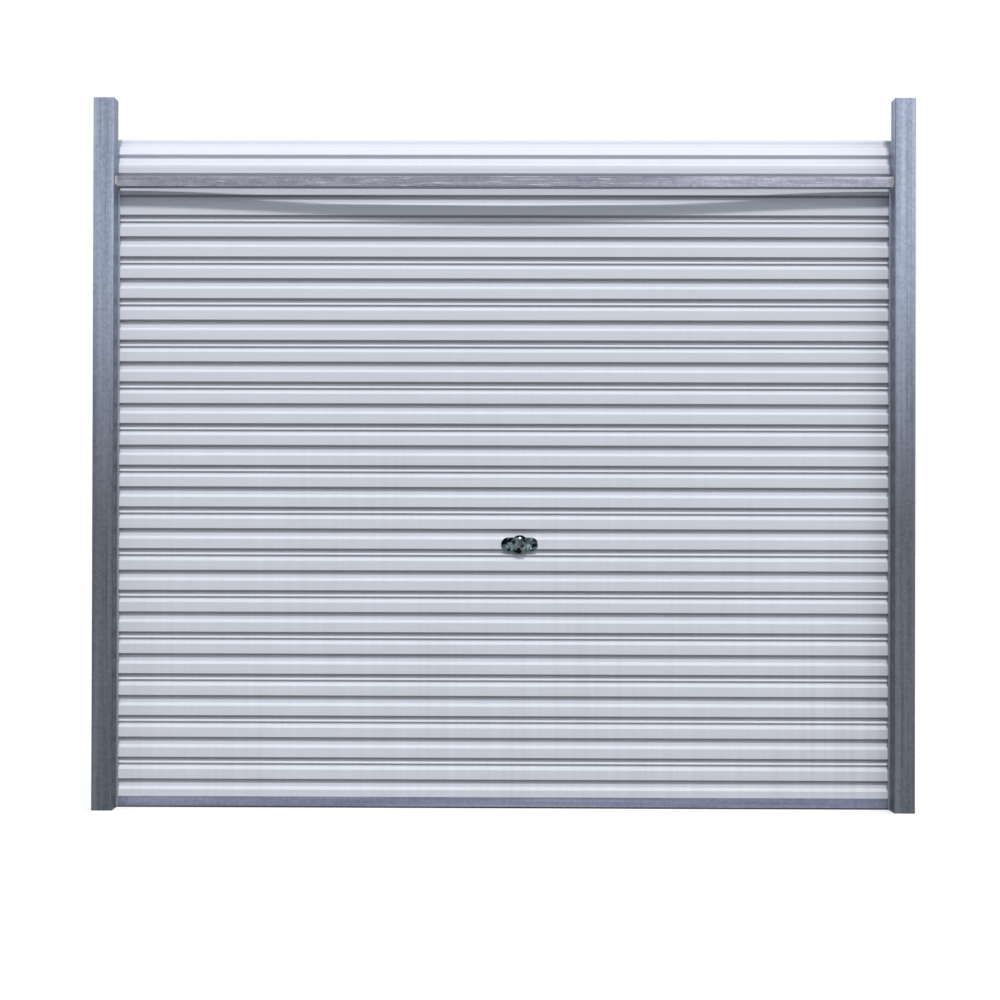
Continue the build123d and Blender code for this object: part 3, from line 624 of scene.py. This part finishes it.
def cut_for_lock(obj):
    """Take out the window that the lock's block fills."""
    low, high = PLATE_LOW, PLATE_HIGH
    centre = ((low[0] + high[0]) / 2, low[1], (low[2] + high[2]) / 2)
    deselect()
    bpy.ops.mesh.primitive_cylinder_add(
        vertices=48, radius=LOCK_CUT_RADIUS, depth=CUTTER_DEPTH, location=centre, rotation=(pi / 2, 0, 0)
    )
    cutter = bpy.context.object
    bpy.ops.object.transform_apply(location=True, rotation=True, scale=True)
    for vert in cutter.data.vertices:
        vert.co.x += LOCK_CUT_SPREAD if vert.co.x > centre[0] else -LOCK_CUT_SPREAD
    cut = obj.modifiers.new("lock", "BOOLEAN")
    cut.operation = "DIFFERENCE"
    cut.object = cutter
    cut.solver = "EXACT"
    bpy.context.view_layer.objects.active = obj
    bpy.ops.object.modifier_apply(modifier=cut.name)
    bpy.data.objects.remove(cutter)


class ROLLER_OT_roll(bpy.types.Operator):
    """Wound part of the sheet on the drum"""

    bl_idname = "roller.roll"
    bl_label = "Wound Sheet"

    def execute(self, context):
        settings = settings_of(context)
        centre_y, centre_z = SPIN["pos_m"][1], SPIN["pos_m"][2]
        base = centre_y - SHEET_LOW[1] - CREST
        fall = ROLL_GROWTH / (2 * pi)
        # The inner end lies in a gap, where the bolts hold it to the wheels
        pitches = ceil((centre_z - FIRST_BEAD) / PITCH + ROLL_PITCHES)
        end = FIRST_BEAD + pitches * PITCH + GAP_TOP - WIDE_GAP / 4
        wound = []
        slip = settings.roll_slip
        folds = [(height - slip, out) for height, out in runs_between(centre_z + slip, end)]
        for (low, low_out), (high, high_out) in zip(folds, folds[1:]):
            steps = ceil((high - low) / ROLL_FACET)
            wound += [
                (low + (high - low) * i / steps, low_out + (high_out - low_out) * i / steps) for i in range(steps)
            ]
        wound.append(folds[-1])
        points = []
        for height, out in wound:
            turn = (base - sqrt(base**2 - 2 * fall * (height - centre_z))) / fall
            radius = base - fall * turn + out
            points.append((centre_y - radius * cos(turn), centre_z + radius * sin(turn)))
        obj = strip("wound_sheet", points, ROLL_LOW[0], ROLL_HIGH[0])
        round_and_thicken(obj, settings)
        finish_piece(obj, "wound_sheet", "drum", coated_material(settings))
        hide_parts("curtain_roll")
        return {"FINISHED"}


def header_finish():
    """The header's scuffed finish, made once."""
    name = "galvanised_angle_scuffed"
    made = bpy.data.materials.get(name)
    # The header's finish paints light: it gets lighter towards the right end
    return made or galvanised(name, "#90919e", "#696b79", rough=0.45, along="X", scuff=0.7, painted_right_light=1.4)


class ROLLER_OT_header(bpy.types.Operator):
    """Header angle, bowed outwards and down, with its edges rubbed round"""

    bl_idname = "roller.header"
    bl_label = "Header Angle"

    def execute(self, context):
        settings = settings_of(context)
        front, foot = HEADER_LOW[1] + settings.header_bow, HEADER_LOW[2] + settings.header_sag
        half = HEADER_HIGH[0]
        outline = [(front, HEADER_HIGH[2]), (front, foot), (HEADER_HIGH[1], foot)]
        obj = strip("dressed_header", outline, -half, half)
        bpy.ops.object.mode_set(mode="EDIT")
        mesh = bmesh.from_edit_mesh(obj.data)
        for edge in mesh.edges:
            edge.select_set(abs(edge.verts[0].co.x - edge.verts[1].co.x) > half)
        bmesh.update_edit_mesh(obj.data)
        bpy.ops.mesh.subdivide(number_cuts=settings.header_steps - 1)
        bpy.ops.object.mode_set(mode="OBJECT")
        for vert in obj.data.vertices:
            share = 1 - abs(vert.co.x) / half
            bell = share * share * (3 - 2 * share)
            vert.co.y -= bell * settings.header_bow
            vert.co.z -= bell * settings.header_sag
        face_outwards(obj)
        wall = obj.modifiers.new("wall", "SOLIDIFY")
        wall.thickness = settings.header_wall
        wall.offset = -1
        wall.use_even_offset = True
        edges = obj.modifiers.new("edges", "BEVEL")
        edges.width = settings.header_wall / 4
        edges.segments = 2
        edges.limit_method = "ANGLE"
        edges.angle_limit = radians(50)
        finish_piece(obj, "dressed_header", "frame", header_finish(), angle=40)
        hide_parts("header_bar")
        return {"FINISHED"}


class ROLLER_OT_springs(bpy.types.Operator):
    """Counterweight springs as close coils of wire"""

    bl_idname = "roller.springs"
    bl_label = "Springs"

    def execute(self, context):
        settings = settings_of(context)
        material = dull_part("oiled_spring_wire", "#3a3a3d", "#1d1d1f", 0.38, metallic=0.7, scale=300.0, bump=0.15)
        wire = settings.spring_wire
        for name in ("spring_left", "spring_right"):
            low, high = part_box(name)
            radius = (high[2] - low[2] - wire) / 2
            length = high[0] - low[0]
            turns = int(length / (wire * 1.03)) - 1
            deselect()
            bpy.ops.mesh.primitive_circle_add(
                vertices=8,
                radius=wire / 2,
                location=(low[0] + wire / 2, (low[1] + high[1]) / 2 - radius, (low[2] + high[2]) / 2),
            )
            coil = bpy.context.object
            bpy.ops.object.transform_apply(location=True, rotation=True, scale=True)
            centre = ((low[1] + high[1]) / 2, (low[2] + high[2]) / 2)
            pivot = bpy.data.objects.new("pivot", None)
            context.scene.collection.objects.link(pivot)
            pivot.location = (0, *centre)
            context.view_layer.update()
            screw = coil.modifiers.new("coil", "SCREW")
            screw.axis = "X"
            screw.object = pivot
            screw.angle = 2 * pi
            screw.iterations = turns
            screw.steps = screw.render_steps = 24
            screw.screw_offset = (length - wire) / turns
            context.view_layer.objects.active = coil
            coil.select_set(True)
            bpy.ops.object.modifier_apply(modifier=screw.name)
            bpy.data.objects.remove(pivot)
            bpy.ops.object.mode_set(mode="EDIT")
            bpy.ops.mesh.select_all(action="DESELECT")
            bpy.ops.mesh.select_mode(type="EDGE")
            bpy.ops.mesh.select_non_manifold()
            bpy.ops.mesh.edge_face_add()
            bpy.ops.mesh.select_all(action="SELECT")
            bpy.ops.mesh.normals_make_consistent(inside=False)
            bpy.ops.object.mode_set(mode="OBJECT")
            finish_piece(coil, name + "_coil", "frame", material, angle=60)
            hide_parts(name)
        return {"FINISHED"}


class ROLLER_OT_finishes(bpy.types.Operator):
    """Finishes of the metal, nylon and rubber pieces"""

    bl_idname = "roller.finishes"
    bl_label = "Finishes"

    def execute(self, context):
        # The posts carry a painted reflection: darker and less blue towards the ground
        posts = galvanised("galvanised_box_section", "#a1abbf", "#757e91", painted_ground_reflection=(0.36, 0.345, 0.325), rough=0.5)
        bar = header_finish()
        guide = galvanised("galvanised_strip", "#c3c9d4", "#9fa6b3", rough=0.35)
        rail = galvanised("galvanised_angle_weathered", "#868b9f", "#666b80", rough=0.5, along="X")
        weld = dull_part("weld_bead_rusted", "#d2cbbf", "#9d9486", 0.6, metallic=0.2, scale=500.0, bump=0.5)
        zinc = plated("zinc_plated_steel", "#d5d6d8", "#b4b6ba")
        plate = galvanised("galvanised_plate", "#b8bcc2", "#979ba1", rough=0.5)
        tube = galvanised("galvanised_axle_tube", "#b5b9bf", "#8f9399", rough=0.45, along="X")
        nylon = dull_part("moulded_nylon", "#dcdbd4", "#cfcdc4", 0.5, scale=200.0, bump=0.1)
        casting = dull_part("cast_aluminium", "#a9acb0", "#8b8e93", 0.55, metallic=0.8, scale=250.0, bump=0.35)
        rubber = dull_part("extruded_rubber", "#262626", "#171717", 0.75, scale=150.0)
        # Both chromes carry painted reflections: dark patches in their colour for the surroundings they mirror
        bright = chrome("dark_chrome", "#6c7c81", "#0a1113")
        nickel = chrome("nickel_plate", "#646268", "#3c3a3f", rough=0.2)
        pressed = plated("zinc_plated_pressing", "#cfcfca", "#a8a8a3", rough=0.36)
        finishes = {
            posts: ("post_left", "post_right"),
            bar: ("header_bar",),
            guide: ("guide_left", "guide_right", "keeper_left", "keeper_right"),
            rail: ("bottom_rail", "rail_clamp"),
            weld: ("header_welds",),
            zinc: (
                "guide_screws",
                "stop_bolts",
                "bracket_bolts",
                "axle_clamps",
                "roll_bolts",
                "rail_screws",
                "lock_screws",
                "pull_handle",
            ),
            plate: ("bracket_left", "bracket_right", "spring_collars"),
            tube: ("axle",),
            nylon: ("guide_liner_left", "guide_liner_right", "wheel_bushes", "axle_spacers"),
            casting: ("drum_wheel_left", "drum_wheel_centre", "drum_wheel_right"),
            rubber: ("weather_seal",),
            bright: ("lock_plate", "lock_knob"),
            nickel: ("key_barrel",),
            pressed: ("lock_case", "lock_spindle", "lock_cam", "bar_clips", "lock_bar_left", "lock_bar_right"),
        }
        for material, names in finishes.items():
            for name in names:
                for slot in NODES[name].material_slots:
                    slot.link = "OBJECT"
                    slot.material = material
        return {"FINISHED"}


def seen_directly(tree):
    """1 for rays that show the ground or sky to the camera, in a reflection or through a clear piece."""
    path = node(tree, "ShaderNodeLightPath")
    rays = [path.outputs[f"Is {kind} Ray"] for kind in ("Camera", "Glossy", "Transmission")]
    first = node(tree, "ShaderNodeMath", {0: rays[0], 1: rays[1]}, operation="MAXIMUM")
    return node(tree, "ShaderNodeMath", {0: first.outputs[0], 1: rays[2]}, operation="MAXIMUM").outputs[0]


class ROLLER_OT_stage(bpy.types.Operator):
    """Floor, sky, sun and camera"""

    bl_idname = "roller.stage"
    bl_label = "Stage"

    def execute(self, context):
        settings = settings_of(context)
        scene = context.scene
        scene.view_settings.view_transform = "Standard"
        deselect()
        bpy.ops.mesh.primitive_plane_add(size=60, location=(0, 0, 0))
        floor = context.object
        floor.name = "floor"
        # White where it is seen, but it throws little light back up
        material, tree, shader, _ = new_material("pale_floor")
        bounce = (*[settings.floor_tone * c for c in (0.96, 1.0, 1.02)], 1)
        tone = node(
            tree,
            "ShaderNodeMix",
            {"Factor": seen_directly(tree), COLOUR_A: bounce, COLOUR_B: paint("#ffffff")},
            data_type="RGBA",
        )
        tree.links.new(tone.outputs[COLOUR_OUT], shader.inputs["Base Color"])
        shader.inputs["Roughness"].default_value = 1.0
        shader.inputs["Specular IOR Level"].default_value = 0.0
        floor.data.materials.append(material)

        # Soft light from all of the sky, which is white where it is seen
        world = bpy.data.worlds.new("sky")
        scene.world = world
        world.use_nodes = True
        tree = world.node_tree
        tree.nodes.clear()
        sky = node(tree, "ShaderNodeBackground", {"Color": (0.94, 0.97, 1.03, 1), "Strength": 0.53})
        white = node(tree, "ShaderNodeBackground", {"Color": (1, 1, 1, 1), "Strength": 1.0})
        both = node(
            tree,
            "ShaderNodeMixShader",
            {0: seen_directly(tree), 1: sky.outputs[0], 2: white.outputs[0]},
        )
        node(tree, "ShaderNodeOutputWorld", {"Surface": both.outputs[0]})

        # Name, height above the ground and bearing from the front in degrees, strength, width in degrees, colour
        lamps = (
            ("side_fill", 15, 48, 0.7, 60, (1, 1, 1)),
            ("sun", 50, 4, 2.25, 6, (1.0, 0.985, 0.96)),
        )
        for name, above, bearing, energy, width, colour in lamps:
            bpy.ops.object.light_add(type="SUN", rotation=(radians(90 - above), 0, radians(bearing)))
            lamp = context.object
            lamp.name = name
            lamp.data.energy = energy
            lamp.data.angle = radians(width)
            lamp.data.color = colour

        bpy.ops.object.camera_add(location=CAMERA_PLACE, rotation=[radians(turn) for turn in CAMERA_TURN])
        camera = context.object
        camera.data.lens = SENSOR * CAMERA_FOCUS
        camera.data.sensor_width = SENSOR
        scene.camera = camera
        return {"FINISHED"}


class ROLLER_PT_panel(bpy.types.Panel):
    """Buttons for the door's pieces"""

    bl_label = "Roller Door"
    bl_idname = "ROLLER_PT_panel"
    bl_space_type = "VIEW_3D"
    bl_region_type = "UI"
    bl_category = "Roller Door"

    def draw(self, context):
        settings = settings_of(context)
        for name in settings.bl_rna.properties.keys():
            if name not in ("rna_type", "name"):
                self.layout.prop(settings, name)
        for operator in OPERATORS:
            self.layout.operator(operator.bl_idname)


OPERATORS = (
    ROLLER_OT_sheet,
    ROLLER_OT_roll,
    ROLLER_OT_header,
    ROLLER_OT_springs,
    ROLLER_OT_finishes,
    ROLLER_OT_stage,
)


def register():
    """Add the settings, operators and panel."""
    bpy.utils.register_class(DoorSettings)
    for operator in OPERATORS:
        bpy.utils.register_class(operator)
    bpy.utils.register_class(ROLLER_PT_panel)
    bpy.types.Scene.roller_door = bpy.props.PointerProperty(type=DoorSettings)


def unregister():
    """Take them away again."""
    del bpy.types.Scene.roller_door
    bpy.utils.unregister_class(ROLLER_PT_panel)
    for operator in reversed(OPERATORS):
        bpy.utils.unregister_class(operator)
    bpy.utils.unregister_class(DoorSettings)


def main():
    """Dress the door and set the stage."""
    register()
    for operator in OPERATORS:
        group, name = operator.bl_idname.split(".")
        getattr(getattr(bpy.ops, group), name)()


if __name__ == "__main__":
    main()
